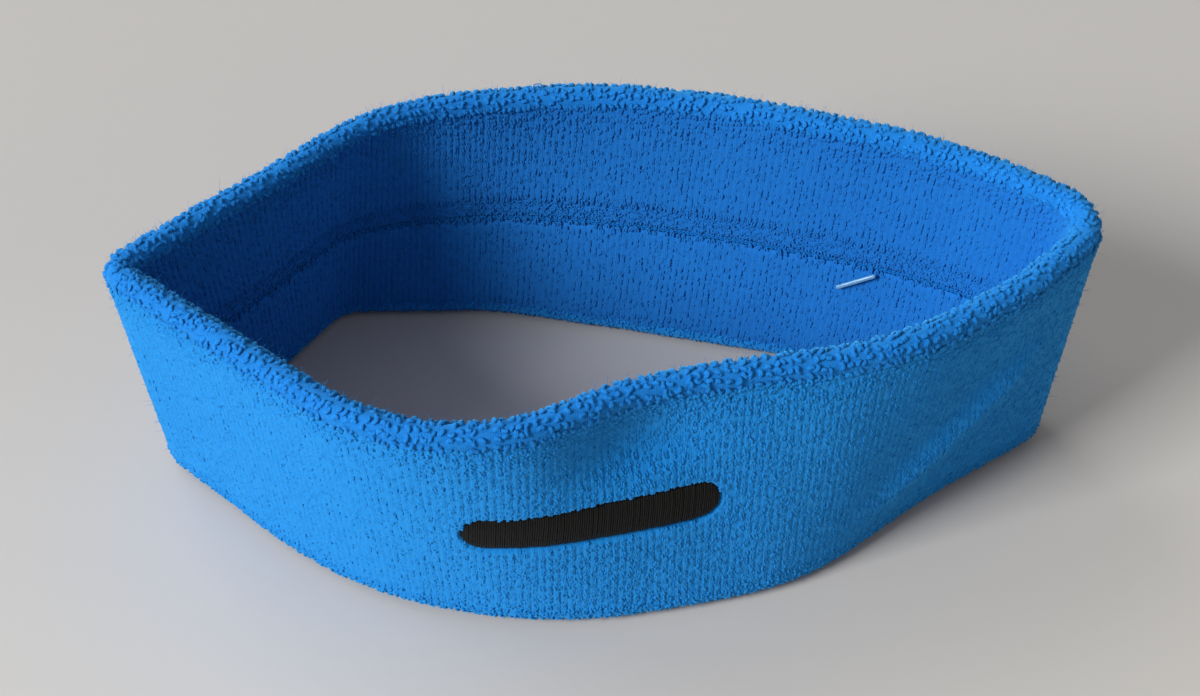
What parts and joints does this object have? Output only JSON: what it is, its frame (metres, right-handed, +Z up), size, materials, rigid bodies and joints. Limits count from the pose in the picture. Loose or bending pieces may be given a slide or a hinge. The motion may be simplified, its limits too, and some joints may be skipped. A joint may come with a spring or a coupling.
{
  "type": "sports headband",
  "caption": "Doubled terry-knit stretch headband standing in its relaxed leaf shape, with towelling faces, an inner linking seam and a plain embroidered bar on the front.",
  "frame": {"origin": "centre of the band's footprint box, on the surface it stands on", "axes": "+X along the long way of the leaf shape, to the viewer's right; +Y from the marked front to the back; +Z up, through the head opening"},
  "size_m": [0.1624, 0.0918, 0.05],
  "materials": {
    "blue_terry": "uncut cotton loop pile, soft and matt",
    "blue_ground_knit": "plain jersey knit, matt",
    "blue_thread": "spun linking yarn, matt",
    "elastic_yarn": "covered elastic yarn, slightly glossy",
    "black_thread": "rayon satin stitch, soft sheen along the threads",
    "grey_thread": "spun bobbin thread, matt",
    "white_stabiliser": "thin non-woven backing, matt",
    "white_nylon": "moulded translucent nylon, smooth"
  },
  "bodies": {
    "root": {"outer_terry": "blue_terry", "outer_ground_knit": "blue_ground_knit", "top_fold_terry": "blue_terry", "top_fold_ground_knit": "blue_ground_knit", "bottom_fold_terry": "blue_terry", "bottom_fold_ground_knit": "blue_ground_knit", "inner_upper_terry": "blue_terry", "inner_upper_ground_knit": "blue_ground_knit", "inner_lower_terry": "blue_terry", "inner_lower_ground_knit": "blue_ground_knit", "seam_welt": "blue_ground_knit", "linking_thread": "blue_thread", "elastic_yarns": "elastic_yarn", "mark_stitching": "black_thread", "mark_bobbin_thread": "grey_thread", "mark_backing": "white_stabiliser", "tag_fastener_bar": "white_nylon"}
  },
  "joints": []
}
